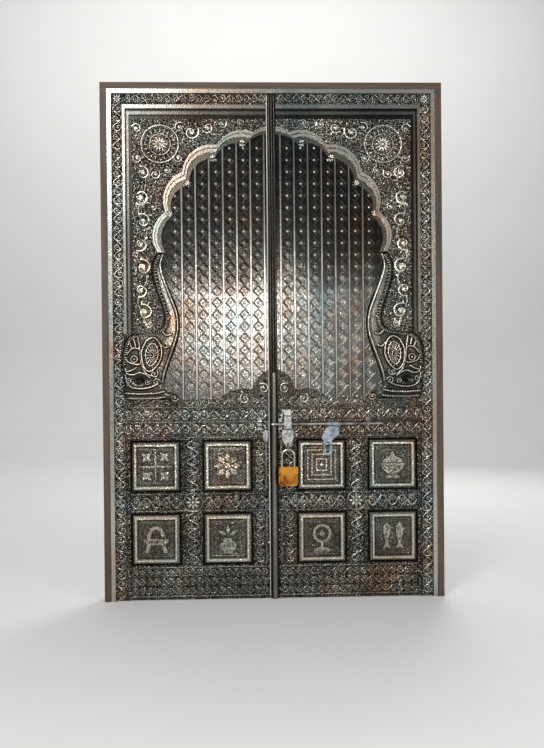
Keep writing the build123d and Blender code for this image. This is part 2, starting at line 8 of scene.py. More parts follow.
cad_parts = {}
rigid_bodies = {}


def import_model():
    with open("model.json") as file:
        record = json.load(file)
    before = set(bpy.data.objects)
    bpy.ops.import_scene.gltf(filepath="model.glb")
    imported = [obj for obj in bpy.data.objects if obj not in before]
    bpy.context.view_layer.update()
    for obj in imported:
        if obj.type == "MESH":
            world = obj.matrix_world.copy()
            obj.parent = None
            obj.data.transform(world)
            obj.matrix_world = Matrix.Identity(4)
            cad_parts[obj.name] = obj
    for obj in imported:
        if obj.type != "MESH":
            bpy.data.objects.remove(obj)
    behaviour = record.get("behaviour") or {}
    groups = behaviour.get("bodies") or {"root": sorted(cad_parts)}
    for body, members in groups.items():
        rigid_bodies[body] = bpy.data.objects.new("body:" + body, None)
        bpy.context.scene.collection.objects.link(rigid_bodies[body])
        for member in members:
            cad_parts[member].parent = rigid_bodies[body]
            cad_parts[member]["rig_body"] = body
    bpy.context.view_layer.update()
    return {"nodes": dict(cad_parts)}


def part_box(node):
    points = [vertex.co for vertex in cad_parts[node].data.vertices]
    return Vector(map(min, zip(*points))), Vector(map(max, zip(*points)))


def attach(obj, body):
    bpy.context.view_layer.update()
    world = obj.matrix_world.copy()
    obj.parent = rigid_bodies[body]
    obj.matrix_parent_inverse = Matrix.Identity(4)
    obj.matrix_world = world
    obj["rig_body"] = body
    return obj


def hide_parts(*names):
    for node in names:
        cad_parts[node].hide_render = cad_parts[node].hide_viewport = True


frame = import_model()
nodes = frame["nodes"]

# The face of the timber cores lies at this y in metres
CORE_Y = -0.00125

# A place on a leaf's face is (u, z) in millimetres, where u is |x|, and its height is counted from CORE_Y.
# LEAVES gives the way in which a leaf's u runs along x, and JOINT_EDGE the u from which its rails are chased.
# FACE is the first and the last u and z of the grid that the face is looked at in
LEAVES = {"left": -1, "right": 1}
JOINT_EDGE = {"left": 22, "right": 16}
FACE = (14, 606, 5, 1899)
GRID_STEP = 2.0

# Millimetres of relief: the rise of sheet that nothing is beaten out of, how far sheet that doesn't rise dips
# under the solid, and the step between a cell's corners from which on the sheet leaves that cell open
UNTOUCHED = -1.0
DIP = 0.8
STEEPEST = 3.2

# Sizes that the part's source gives to the field: slats, and diamonds of lattice between them
SLAT_FIRST, SLAT_PITCH, SLAT_COUNT, SLAT_WIDTH = 30.5, 51.4, 7, 10.0
DIAMOND_RISE = 44.5
DIAMOND_ROWS = 25
FIELD_LOW = 645.5

# The lattice's pockets are closed by flat sheet at FIELD_FLOOR, as bright as this share of a ridge. NO_FLOOR
# lies under every hollow, so that none is closed
FIELD_FLOOR = 3.3
GROUND_TONE = 0.60
NO_FLOOR = -9.0

# Tarnished silver runs from black in the hollows, through a dull brown, to the rubbed ridges
HOLLOW = (0.010, 0.009, 0.008)
DULL = (0.040, 0.035, 0.031)

# Its tarnish drifts from blue to copper
PATINA = (
    (0.34, (0.62, 0.80, 0.84)), (0.45, (0.93, 0.97, 0.92)),
    (0.55, (1.0, 0.93, 0.84)), (0.66, (1.0, 0.72, 0.52)),
)

# Between these heights in metres the field's sheet is painted darker and darker upwards, as painted shade
# above the front lamp's highlight
SHADE_FROM, SHADE_TO = 1.14, 1.40

# The dark and the bright grain of the timber
FRAME_TEAK = (0.022, 0.013, 0.009), (0.105, 0.062, 0.038)
CORE_TEAK = (0.045, 0.025, 0.015), (0.21, 0.125, 0.072)


# Steps that every material is made of
def new_material(name):
    material = bpy.data.materials.new(name)
    material.use_nodes = True
    tree = material.node_tree
    tree.nodes.clear()
    shader = tree.nodes.new("ShaderNodeBsdfPrincipled")
    output = tree.nodes.new("ShaderNodeOutputMaterial")
    tree.links.new(shader.outputs["BSDF"], output.inputs["Surface"])
    place = tree.nodes.new("ShaderNodeTexCoord").outputs["Object"]
    return material, tree, shader, place


def add(tree, kind, inputs=None, **settings):
    node = tree.nodes.new(kind)
    for key, value in settings.items():
        setattr(node, key, value)
    for key, value in (inputs or {}).items():
        if isinstance(value, bpy.types.NodeSocket):
            tree.links.new(value, node.inputs[key])
        else:
            node.inputs[key].default_value = value
    return node


def ramp(tree, factor, stops):
    node = add(tree, "ShaderNodeValToRGB", {"Fac": factor})
    bar = node.color_ramp
    while len(bar.elements) < len(stops):
        bar.elements.new(0.5)
    for element, (place, colour) in zip(bar.elements, stops):
        element.position = place
        element.color = (*colour, 1.0)
    return node.outputs["Color"]


def mix(tree, factor, a, b, blend="MIX"):
    """Two colours, mixed. The node takes colours at its inputs 6 and 7 and gives one at its output 2."""
    node = add(tree, "ShaderNodeMix", {0: factor}, data_type="RGBA", blend_type=blend)
    for index, value in ((6, a), (7, b)):
        if isinstance(value, bpy.types.NodeSocket):
            tree.links.new(value, node.inputs[index])
        else:
            node.inputs[index].default_value = (*value, 1.0)
    return node.outputs[2]


def calc(tree, operation, a, b=0.0, clamp=False):
    node = add(tree, "ShaderNodeMath", {0: a, 1: b}, operation=operation)
    node.use_clamp = clamp
    return node.outputs[0]


def weigh(tree, value, middle, share):
    """How far a value lies from its middle, times a share."""
    return calc(tree, "MULTIPLY", calc(tree, "SUBTRACT", value, middle), share)


def spread(tree, value, low, high, first=0.0, last=1.0):
    """The stretch of a value from low to high, carried over to the stretch from first to last."""
    ends = {"Value": value, "From Min": low, "From Max": high, "To Min": first, "To Max": last}
    return add(tree, "ShaderNodeMapRange", ends).outputs[0]


def noise(tree, place, scale, detail, rough, output="Fac"):
    grain = {"Vector": place, "Scale": scale, "Detail": detail, "Roughness": rough}
    return add(tree, "ShaderNodeTexNoise", grain).outputs[output]


def cells(tree, place, scale, feature):
    inputs = {"Vector": place, "Scale": scale}
    return add(tree, "ShaderNodeTexVoronoi", inputs, feature=feature).outputs["Distance"]


def along(tree, place, axis):
    return add(tree, "ShaderNodeSeparateXYZ", {0: place}).outputs[axis]


def bump(tree, height, strength, distance, under=None):
    """A dented surface, over another one where that is given."""
    inputs = {"Height": height, "Strength": strength, "Distance": distance}
    if under is not None:
        inputs["Normal"] = under
    return add(tree, "ShaderNodeBump", inputs).outputs[0]


def wear(tree, shader, colour, roughness, normal):
    tree.links.new(colour, shader.inputs["Base Color"])
    tree.links.new(normal, shader.inputs["Normal"])
    if isinstance(roughness, bpy.types.NodeSocket):
        tree.links.new(roughness, shader.inputs["Roughness"])
    else:
        shader.inputs["Roughness"].default_value = roughness


# Materials
def punched_leaves(tree, place):
    """Fine curled leaves: rings in large cells and veins round small ones, both bent out of their rows."""
    bent = noise(tree, place, 55.0, 2.0, 0.5, "Color")
    swirl = mix(tree, 0.022, (0.0, 0.0, 0.0), bent, "ADD")
    curled = add(tree, "ShaderNodeVectorMath", {0: place, 1: swirl}, operation="ADD").outputs[0]
    rings = calc(tree, "SINE", calc(tree, "MULTIPLY", cells(tree, curled, 64.0, "F1"), 24.0))
    veins = spread(tree, cells(tree, curled, 118.0, "DISTANCE_TO_EDGE"), 0.02, 0.22)
    return calc(tree, "ADD", calc(tree, "MULTIPLY", rings, 0.5), calc(tree, "MULTIPLY", veins, 0.8))


def silver_sheet(name, span, ridge, grime, rough, fine, tint=0.8, foliage=0.0, upper=0.0, beaten=False):
    """Embossed silver sheet, black in its hollows and rubbed to the colour ridge on its heights.

    It brightens over a span of heights over the cores, in metres, or of shares of the relief where it is
    beaten. grime is how much its tarnish is blotched, and fine how deep its small dents are. foliage is how
    strongly leaves are punched all over its ground. upper is how much darker its sheet is painted towards the
    top, as painted shade above the lamp's highlight."""
    material, tree, shader, place = new_material(name)
    if beaten:
        height = add(tree, "ShaderNodeAttribute", attribute_name="relief").outputs["Fac"]
    else:
        height = calc(tree, "SUBTRACT", CORE_Y, along(tree, place, "Y"))
    speck = noise(tree, place, 170.0, 3.0, 0.6)
    blotch = noise(tree, place, 7.0, 5.0, 0.65)
    worn_and_shaded = calc(tree, "ADD", spread(tree, height, *span), weigh(tree, speck, 0.5, grime))
    worn_and_shaded = calc(tree, "ADD", worn_and_shaded, weigh(tree, blotch, 0.5, grime), clamp=True)
    # Painted shade: above the lamp's highlight the sheet's colour is darkened more and more with height
    if upper:
        shade_exponent = spread(tree, along(tree, place, "Z"), SHADE_FROM, SHADE_TO, 1.0, 1.0 + upper)
        worn_and_shaded = calc(tree, "POWER", worn_and_shaded, shade_exponent)
    if foliage:
        leaves = punched_leaves(tree, place)
        worn_and_shaded = calc(tree, "ADD", worn_and_shaded, weigh(tree, leaves, 0.36, foliage), clamp=True)
    between = [h * 0.72 + r * 0.28 for h, r in zip(HOLLOW, ridge)]
    colour = ramp(tree, worn_and_shaded, [(0.0, HOLLOW), (0.35, DULL), (0.66, between), (1.0, ridge)])
    cast = ramp(tree, noise(tree, place, 4.0, 4.0, 0.62), PATINA)
    gloss = spread(tree, speck, 0.3, 0.7, rough + 0.12, rough - 0.04)
    dents = bump(tree, noise(tree, place, 60.0, 4.0, 0.6), 0.4 * fine, 0.004)
    dents = bump(tree, cells(tree, place, 190.0, "SMOOTH_F1"), 0.6 * fine, 0.002, dents)
    if foliage:
        dents = bump(tree, leaves, foliage, 0.002, dents)
    shader.inputs["Metallic"].default_value = 0.9
    wear(tree, shader, mix(tree, tint, colour, cast, "MULTIPLY"), gloss, dents)
    return material


def oiled_teak(name, dark, bright, stretch=(34.0, 34.0, 1.6), board=0.0):
    """Old teak with grain along the axis of least stretch, in boards of one width where that is given."""
    material, tree, shader, place = new_material(name)
    lengthwise = add(tree, "ShaderNodeMapping", {"Vector": place, "Scale": stretch}).outputs[0]
    grain = noise(tree, lengthwise, 3.0, 6.0, 0.62)
    wide = noise(tree, lengthwise, 0.6, 3.0, 0.5)
    value = calc(tree, "ADD", calc(tree, "MULTIPLY", grain, 0.7), calc(tree, "MULTIPLY", wide, 0.3))
    halfway = [(d + b) / 2 for d, b in zip(dark, bright)]
    colour = ramp(tree, value, [(0.32, dark), (0.5, halfway), (0.68, bright)])
    relief = grain
    if board:
        count = calc(tree, "ADD", calc(tree, "DIVIDE", along(tree, place, "X"), board), 20.11)
        off = calc(tree, "ABSOLUTE", calc(tree, "SUBTRACT", calc(tree, "FRACT", count), 0.5))
        seam = spread(tree, off, 0.490, 0.498)
        number = {"W": calc(tree, "FLOOR", count)}
        tone = add(tree, "ShaderNodeTexWhiteNoise", number, noise_dimensions="1D").outputs["Value"]
        colour = mix(tree, calc(tree, "MULTIPLY", tone, 0.45), colour, dark)
        colour = mix(tree, seam, colour, [0.3 * d for d in dark])
        relief = calc(tree, "SUBTRACT", grain, seam)
    wear(tree, shader, colour, 0.55, bump(tree, relief, 0.4, 0.0015))
    return material


def bare_metal(name, dark, bright, rough, metallic=1.0, axis=(1.0, 1.0, 1.0)):
    """Handled metal with rubbed streaks and darker, duller patches."""
    material, tree, shader, place = new_material(name)
    turned = add(tree, "ShaderNodeMapping", {"Vector": place, "Scale": axis}).outputs[0]
    streak = noise(tree, turned, 180.0, 4.0, 0.65)
    patch = noise(tree, place, 24.0, 5.0, 0.65)
    value = calc(tree, "ADD", calc(tree, "MULTIPLY", streak, 0.35), calc(tree, "MULTIPLY", patch, 0.65))
    colour = ramp(tree, value, [(0.42, dark), (0.57, bright)])
    gloss = spread(tree, value, 0.35, 0.65, rough + 0.15, rough - 0.05)
    shader.inputs["Metallic"].default_value = metallic
    wear(tree, shader, colour, gloss, bump(tree, streak, 0.2, 0.0006))
    return material


def pale_paint(name, colour):
    material, tree, shader, place = new_material(name)
    tone = ramp(tree, noise(tree, place, 1.5, 2.0, 0.55), [(0.3, [c * 0.97 for c in colour]), (0.7, colour)])
    tree.links.new(tone, shader.inputs["Base Color"])
    shader.inputs["Roughness"].default_value = 0.8
    return material


materials = {
    "band": silver_sheet("border_sheet", (0.0130, 0.0220), (0.72, 0.68, 0.62), 0.6, 0.30, fine=0.6,
                         foliage=1.0),
    "moulding": silver_sheet("moulding_sheet", (0.0070, 0.0215), (0.48, 0.46, 0.44), 0.3, 0.22, fine=0.2),
    "ground": silver_sheet("ground_sheet", (0.0090, 0.0190), (0.72, 0.68, 0.62), 0.7, 0.30, fine=0.6,
                           foliage=0.95),
    "arch": silver_sheet("arch_sheet", (0.0030, 0.0230), (0.60, 0.55, 0.50), 0.35, 0.20, fine=0.25, tint=1.0),
    "board": silver_sheet("board_sheet", (-0.0060, 0.0110), (0.58, 0.56, 0.55), 0.5, 0.20, fine=0.3,
                          upper=4.0),
    "slat": silver_sheet("slat_sheet", (0.0100, 0.0145), (0.38, 0.37, 0.37), 0.2, 0.26, fine=0.15, upper=1.5),
    "panel": silver_sheet("panel_sheet", (0.0096, 0.0185), (0.62, 0.60, 0.54), 0.45, 0.22, fine=0.5,
                          foliage=0.20),
    "rail": silver_sheet("rail_sheet", (0.0120, 0.0220), (0.84, 0.80, 0.73), 0.6, 0.28, fine=0.6,
                         foliage=1.3),
    "bar": silver_sheet("bar_sheet", (0.0120, 0.0280), (0.46, 0.42, 0.39), 0.25, 0.20, fine=0.15),
    "stud": silver_sheet("stud_silver", (-0.001, 0.0060), (0.46, 0.44, 0.42), 0.3, 0.26, fine=0.2),
    "bead": silver_sheet("bead_silver", (0.006, 0.026), (0.66, 0.62, 0.57), 0.5, 0.24, fine=0.2),
    "relief": silver_sheet("chased_relief", (-0.05, 1.0), (0.78, 0.74, 0.68), 0.65, 0.24, fine=0.5, tint=0.9,
                           beaten=True),
    "lattice": silver_sheet("lattice_relief", (-0.05, 1.0), (0.78, 0.74, 0.68), 0.55, 0.24, fine=0.5,
                            tint=0.9, upper=3.0, beaten=True),
    "elephant": silver_sheet("elephant_sheet", (0.0, 1.0), (0.62, 0.57, 0.51), 0.45, 0.22, fine=0.5,
                             tint=0.95, beaten=True),
    "teak": oiled_teak("frame_teak", *FRAME_TEAK),
    "teak_across": oiled_teak("head_teak", *FRAME_TEAK, stretch=(1.6, 34.0, 34.0)),
    "core": oiled_teak("core_teak", *CORE_TEAK, board=0.118),
    "iron": bare_metal("hinge_iron", (0.035, 0.030, 0.027), (0.12, 0.11, 0.10), 0.45, metallic=0.9),
    "bolt": bare_metal("bolt_steel", (0.11, 0.10, 0.10), (0.46, 0.45, 0.44), 0.25, axis=(0.1, 1.0, 1.0)),
    "arm": bare_metal("arm_steel", (0.10, 0.12, 0.15), (0.38, 0.43, 0.49), 0.36),
    "plate": bare_metal("plate_steel", (0.14, 0.14, 0.14), (0.52, 0.51, 0.49), 0.34),
    "shackle": bare_metal("shackle_steel", (0.42, 0.41, 0.40), (0.78, 0.77, 0.75), 0.2),
    "brass": bare_metal("lock_brass", (0.17, 0.045, 0.008), (0.80, 0.36, 0.06), 0.24),
}
finish_of = {
    "left_jamb": "teak", "right_jamb": "teak", "left_stop": "teak", "right_stop": "teak",
    "head": "teak_across", "head_stop": "teak_across", "frame_trim": "moulding",
    "upper_meeting_bar": "bar", "lower_meeting_bar": "bar", "bolt_rod": "bolt", "bolt_guides": "bolt",
    "bolt_keeper": "bolt", "hasp_arm": "arm", "lock_plate": "plate", "padlock_shackle": "shackle",
    "padlock_body": "brass", "escutcheon": "bolt",
}
leaf_finish = {
    "core": "core", "field_board": "board", "border": "band", "inner_moulding": "moulding",
    "spandrel": "ground", "arch": "arch", "slats": "slat", "elephant": "elephant", "mid_rail": "rail",
    "bottom_rail": "rail", "cross_rail": "rail", "meeting_stiles": "rail", "muntins": "rail",
    "lower_inner_panel": "panel", "lower_outer_panel": "panel", "upper_inner_panel": "panel",
    "upper_outer_panel": "panel", "hinge_leaf_plates": "iron", "hinge_jamb_plates": "iron",
}
for side in LEAVES:
    for part, finish in leaf_finish.items():
        finish_of[f"{side}_{part}"] = finish
for name, piece in nodes.items():
    piece.data.materials.clear()
    piece.data.materials.append(materials[finish_of[name]])


# Relief that is beaten into the sheet
class Canvas:
    """A grid of points over a leaf's face, with how far the sheet rises over the solid at each."""

    margin = 3

    def __init__(self, u0, u1, z0, z1):
        self.u = np.arange(u0, u1 + GRID_STEP / 2, GRID_STEP)
        self.z = np.arange(z0, z1 + GRID_STEP / 2, GRID_STEP)
        self.rise = np.full((len(self.z), len(self.u)), UNTOUCHED)

    def clear(self):
        self.rise[:] = UNTOUCHED

    def window(self, u0, u1, z0, z1, reach):
        """The part of the grid that a mark touches: a box from u0 to u1 and z0 to z1 and a reach round it."""
        reach = reach + self.margin
        a, b = np.searchsorted(self.u, (u0 - reach, u1 + reach))
        c, d = np.searchsorted(self.z, (z0 - reach, z1 + reach))
        return slice(c, d), slice(a, b), self.u[a:b][None, :], self.z[c:d][:, None]

    def raise_dome(self, rows, columns, off, half, height):
        """Lifts the sheet to a rounded height that ends where the distance off is half."""
        dome = np.maximum(height * (1 - (off / half) ** 2), UNTOUCHED)
        self.rise[rows, columns] = np.maximum(self.rise[rows, columns], dome)

    def stroke(self, points, widths, height):
        """A rounded ridge along a line, whose half width and height taper together."""
        widths = np.broadcast_to(widths, len(points))
        for (u0, z0), (u1, z1), w0, w1 in zip(points[:-1], points[1:], widths[:-1], widths[1:]):
            rows, columns, u, z = self.window(min(u0, u1), max(u0, u1), min(z0, z1), max(z0, z1), max(w0, w1))
            length = max((u1 - u0) ** 2 + (z1 - z0) ** 2, 1e-6)
            t = np.clip(((u - u0) * (u1 - u0) + (z - z0) * (z1 - z0)) / length, 0, 1)
            off = np.hypot(u - u0 - t * (u1 - u0), z - z0 - t * (z1 - z0))
            width = w0 + t * (w1 - w0)
            self.raise_dome(rows, columns, off, width, height * (0.35 + 0.65 * width / max(widths)))

    def boss(self, u0, z0, radius, height):
        rows, columns, u, z = self.window(u0, u0, z0, z0, radius)
        self.raise_dome(rows, columns, np.hypot(u - u0, z - z0), radius, height)

    def ring(self, u0, z0, radius, half, height):
        rows, columns, u, z = self.window(u0, u0, z0, z0, radius + half)
        self.raise_dome(rows, columns, np.abs(np.hypot(u - u0, z - z0) - radius), half, height)

    def leaf(self, u0, z0, turn, length, half, height):
        steps = length * np.linspace(0, 1, 5)
        points = [(u0 + s * math.cos(turn), z0 + s * math.sin(turn)) for s in steps]
        self.stroke(points, half * np.array([0.45, 0.9, 1.0, 0.7, 0.2]), height)

    def scroll(self, u0, z0, radius, start, hand, height, turns=1.4):
        """A spiral that starts on its rim at an angle and winds in to a small eye."""
        t = np.linspace(0, 1, 22)
        turn = start + hand * 2 * math.pi * turns * t
        r = radius * (1 - 0.82 * t ** 0.8)
        points = np.stack([u0 + r * np.cos(turn), z0 + r * np.sin(turn)], 1)
        self.stroke(points, radius * (0.20 - 0.07 * t), height)
        self.boss(u0, z0, radius * 0.24, height * 1.1)

    def rosette(self, u0, z0, radius, count, height):
        for i in range(count):
            angle = 2 * math.pi * i / count
            foot = u0 + 0.25 * radius * math.cos(angle), z0 + 0.25 * radius * math.sin(angle)
            self.leaf(*foot, angle, 0.75 * radius, radius * 1.9 / count, height)
        self.boss(u0, z0, radius * 0.25, height * 1.2)

    def vine(self, start, end, width, pitch, height, flip=1):
        """A running scroll between two points: a wavy stem with a spiral and leaves in each bend."""
        start, end = np.array(start, float), np.array(end, float)
        length = np.hypot(*(end - start))
        ahead = (end - start) / length
        aside = np.array([-ahead[1], ahead[0]]) * flip
        bends = max(2, round(length / pitch))
        pitch = length / bends
        t = np.linspace(0, bends, bends * 10 + 1)
        wave = np.sin(math.pi * t) * width * 0.36
        stem = start + np.outer(t * pitch, ahead) + np.outer(wave, aside)
        self.stroke(stem, max(1.8, width * 0.055), height)
        radius = min(width * 0.36, pitch * 0.40)
        for i in range(bends):
            way = 1 if i % 2 == 0 else -1
            knee = start + ahead * pitch * i
            bend = start + ahead * pitch * (i + 0.5)
            outward = math.atan2(*(aside * way)[::-1])
            inward = math.atan2(*(-aside * way)[::-1])
            hand = way * flip
            self.scroll(*(bend - aside * way * width * 0.10), radius, outward + 0.5 * hand, hand, height)
            tail = bend - aside * way * width * 0.34
            for lean in (-0.9, 0.0, 0.9):
                foot = tail + lean * ahead * radius * 0.7
                self.leaf(*foot, inward + lean, width * 0.17, width * 0.06, height * 0.9)
            for lean in (-0.6, 0.6):
                self.leaf(*knee, outward + lean, width * 0.30, width * 0.06, height * 0.8)


def eased(points):
    """A smooth line through points, each stretch bent by its neighbours."""
    p = np.array([points[0], *points, points[-1]], float)
    t = np.linspace(0, 1, 6, endpoint=False)[:, None]
    parts = [
        0.5 * (2 * b + (c - a) * t + (2 * a - 5 * b + 4 * c - d) * t ** 2 + (3 * b - a - 3 * c + d) * t ** 3)
        for a, b, c, d in zip(p[:-3], p[1:-2], p[2:-1], p[3:])
    ]
    return np.concatenate([*parts, p[-1:]])


def scatter_leaves(canvas, area, pitch, height, seed, keep=None):
    """Small leaves and buds that fill the ground between larger scrolls."""
    u0, u1, z0, z1 = area
    rng = np.random.default_rng(seed)
    for z in np.arange(z0 + pitch / 2, z1, pitch):
        for u in np.arange(u0 + pitch / 2, u1, pitch):
            du, dz, turn = rng.uniform(-0.35, 0.35, 3)
            spot_u, spot_z = u + du * pitch, z + dz * pitch
            a, c = np.searchsorted(canvas.u, spot_u), np.searchsorted(canvas.z, spot_z)
            if a >= len(canvas.u) or c >= len(canvas.z) or canvas.rise[c, a] > 0:
                continue
            if keep is None or keep(spot_u, spot_z):
                angle = 2 * math.pi * (turn + 0.35) / 0.7
                for lean, share in ((0.0, 0.75), (2.1, 0.62), (-2.1, 0.62)):
                    canvas.leaf(spot_u, spot_z, angle + lean, pitch * share, pitch * 0.19, height)
                canvas.boss(spot_u, spot_z, pitch * 0.15, height)


class LeafFace:
    """The front of one leaf: its height at each point of a canvas, and which of its parts lies there."""

    def __init__(self, side):
        self.side = side
        self.sign = LEAVES[side]
        self.body = f"{side}_leaf"
        self.canvas = Canvas(*FACE)
        shape = self.canvas.rise.shape
        self.height = np.full(shape, np.nan)
        self.owners = np.full(shape, -1)
        names = [name for name in nodes if name.startswith(side) and "hinge" not in name]
        names = [name for name in names if nodes[name]["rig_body"] == self.body]
        self.index = {name[len(side) + 1:]: number for number, name in enumerate(names)}
        self.look_at(names)

    def look_at(self, names):
        """Fills the maps by looking straight at the leaf from in front, at each point of the canvas."""
        corners, faces, owner = [], [], []
        for number, name in enumerate(names):
            mesh = nodes[name].data
            first = len(corners)
            corners.extend(v.co.copy() for v in mesh.vertices)
            faces.extend([first + i for i in polygon.vertices] for polygon in mesh.polygons)
            owner.extend([number] * len(mesh.polygons))
        tree = BVHTree.FromPolygons(corners, faces)
        away = Vector((0, 1, 0))
        for i, z in enumerate(self.canvas.z / 1000):
            for j, u in enumerate(self.canvas.u / 1000):
                hit, normal, face, distance = tree.ray_cast(Vector((self.sign * u, -0.2, z)), away)
                if hit is not None:
                    self.height[i, j] = (CORE_Y - hit.y) * 1000
                    self.owners[i, j] = owner[face]

    def nearest(self, u, z):
        a = min(np.searchsorted(self.canvas.u, u), len(self.canvas.u) - 1)
        c = min(np.searchsorted(self.canvas.z, z), len(self.canvas.z) - 1)
        return c, a

    def is_part(self, part, u, z):
        return self.owners[self.nearest(u, z)] == self.index[part]

    def is_flat(self, u, z):
        """Whether the face is level for five millimetres round a place."""
        spots = [self.height[self.nearest(u + du, z + dz)] for du in (-5, 0, 5) for dz in (-5, 0, 5)]
        return max(spots) - min(spots) < 0.5

    def point(self, u, z, lift=0.0):
        """A point on the face, in metres, or a lift in millimetres over it."""
        return self.sign * u / 1000, CORE_Y - (float(self.height[self.nearest(u, z)]) + lift) / 1000, z / 1000


# Meshes from maps of heights
def four_corners(field):
    """The values of a field at the four corners of every cell."""
    return field[:-1, :-1], field[1:, :-1], field[:-1, 1:], field[1:, 1:]


def cell_mesh(cell, sign):
    """The rows and columns of the points that some cells use, and the cells as quads that face the viewer."""
    used = np.zeros((cell.shape[0] + 1, cell.shape[1] + 1), bool)
    for corner in four_corners(used):
        corner |= cell
    number = np.full(used.shape, -1)
    number[used] = np.arange(used.sum())
    i, j = np.nonzero(cell)
    quads = np.stack([number[i, j], number[i, j + 1], number[i + 1, j + 1], number[i + 1, j]], 1)
    if sign < 0:
        quads = quads[:, ::-1]
    rows, columns = np.nonzero(used)
    return rows, columns, quads


def sheet_mesh(name, points, faces, smooth_count, tone, finish):
    """A mesh with its brightness as an attribute, whose first faces are smooth."""
    mesh = bpy.data.meshes.new(name)
    mesh.from_pydata(points.tolist(), [], faces)
    relief = mesh.attributes.new("relief", "FLOAT", "POINT")
    relief.data.foreach_set("value", tone.astype(np.float32))
    mesh.polygons.foreach_set("use_smooth", [True] * smooth_count + [False] * (len(faces) - smooth_count))
    mesh.materials.append(materials[finish])
    return mesh


def link_piece(name, data):
    piece = bpy.data.objects.new(name, data)
    bpy.context.scene.collection.objects.link(piece)
    return piece


def relief_piece(name, face, parts, peak, floor, finish):
    """A raised sheet over some parts: it dips under their surface wherever nothing is beaten out of it.

    A ridge is brightest from peak upwards. A hollow deeper than floor is closed by flat sheet there."""
    canvas, rise = face.canvas, face.canvas.rise
    inside = np.isin(face.owners, [face.index[p] for p in parts]) & ~np.isnan(face.height)
    flat = np.nan_to_num(face.height)
    low = np.minimum.reduce(four_corners(flat))
    high = np.maximum.reduce(four_corners(flat))
    crest = np.maximum.reduce(four_corners(rise))
    cell = np.logical_and.reduce(four_corners(inside))
    cell &= (high - low < STEEPEST) & ((crest > 0) | (low < floor))
    rows, columns, quads = cell_mesh(cell, face.sign)
    sheet = np.maximum(flat + np.maximum(rise, -DIP), floor)
    x = face.sign * canvas.u[columns] / 1000
    y = CORE_Y - sheet[rows, columns] / 1000
    z = canvas.z[rows] / 1000
    closed = (rise < UNTOUCHED / 2) & (flat < floor)
    tone = np.where(closed, GROUND_TONE, np.clip(rise / peak, 0, 1))[rows, columns]
    mesh = sheet_mesh(name, np.stack([x, y, z], 1), quads.tolist(), len(quads), tone, finish)
    piece = link_piece(name, mesh)
    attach(piece, face.body)


def edge_distance(mask, passes=24):
    """How far each point of a shape lies from its edge, in millimetres, as far in as the passes reach."""
    neighbours = ((1, 0), (-1, 0), (0, 1), (0, -1), (1, 1), (-1, 1), (1, -1), (-1, -1))
    far = np.where(mask, 1e3, 0.0)
    for _ in range(passes):
        for shift in neighbours:
            cost = GRID_STEP * (1.414 if all(shift) else 1)
            far = np.minimum(far, np.roll(far, shift, (0, 1)) + cost)
    return np.where(mask, far, 0.0)


def blurred(field, passes):
    for _ in range(passes):
        upright = np.roll(field, 1, 0) + np.roll(field, -1, 0)
        across = np.roll(field, 1, 1) + np.roll(field, -1, 1)
        field = (field + upright + across) / 5
    return field


def open_edges(quads):
    """The edges that only one quad has, in the quad's own direction."""
    seen = {(a, b): True for quad in quads for a, b in zip(quad, np.roll(quad, -1))}
    return [(a, b) for a, b in seen if (b, a) not in seen]


def smoothed_outline(points, rim, passes=5):
    """Points whose stepped outline is evened out along its edges."""
    for _ in range(passes):
        count = np.zeros(len(points))
        total = np.zeros((len(points), 2))
        for a, b in rim:
            total[a] += points[b]
            total[b] += points[a]
            count[[a, b]] += 1
        edge = count > 0
        moved = points.copy()
        moved[edge] = 0.5 * points[edge] + 0.5 * total[edge] / count[edge, None]
        points = moved
    return points


# The carving in millimetres: its back and its edge over the cores, and how far in and how high it is rounded
BACK, EDGE, ROUND_IN, ROUND_UP = 1.0, 7, 20, 10

# Its brightness at a middle height, and how much is added for each millimetre above that height, and for each
# millimetre by which a ridge stands over what is round it
PLAIN_TONE, MIDDLE_HEIGHT, TONE_BY_HEIGHT, TONE_BY_RIDGE = 0.42, 18, 0.012, 0.22


def carve_elephant(face, height, mask, shade):
    """A closed carving that stands for the plain elephant: modelled in front, flat behind, walls between."""
    name = f"{face.side}_elephant_carving"
    canvas = face.canvas
    rows, columns, quads = cell_mesh(np.logical_and.reduce(four_corners(mask)), face.sign)
    count = len(rows)
    rim = open_edges(quads)
    flat = smoothed_outline(np.stack([canvas.u[columns], canvas.z[rows]], 1), rim)
    x, z = face.sign * flat[:, 0] / 1000, flat[:, 1] / 1000
    front = np.stack([x, CORE_Y - height[rows, columns] / 1000, z], 1)
    back = np.stack([x, np.full(count, CORE_Y - BACK / 1000), z], 1)
    walls = [[int(v) for v in (b, a, a + count, b + count)] for a, b in rim]
    faces = quads.tolist() + (quads[:, ::-1] + count).tolist() + walls
    crisp = (height - blurred(height, 6))[rows, columns]
    above = height[rows, columns] - MIDDLE_HEIGHT
    tone = PLAIN_TONE + shade[rows, columns] + TONE_BY_RIDGE * crisp + TONE_BY_HEIGHT * above
    tone = np.concatenate([np.clip(tone, 0, 1), np.zeros(count)])
    mesh = sheet_mesh(name, np.concatenate([front, back]), faces, len(quads), tone, "elephant")
    piece = link_piece(name, mesh)
    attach(piece, face.body)
    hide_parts(f"{face.side}_elephant")


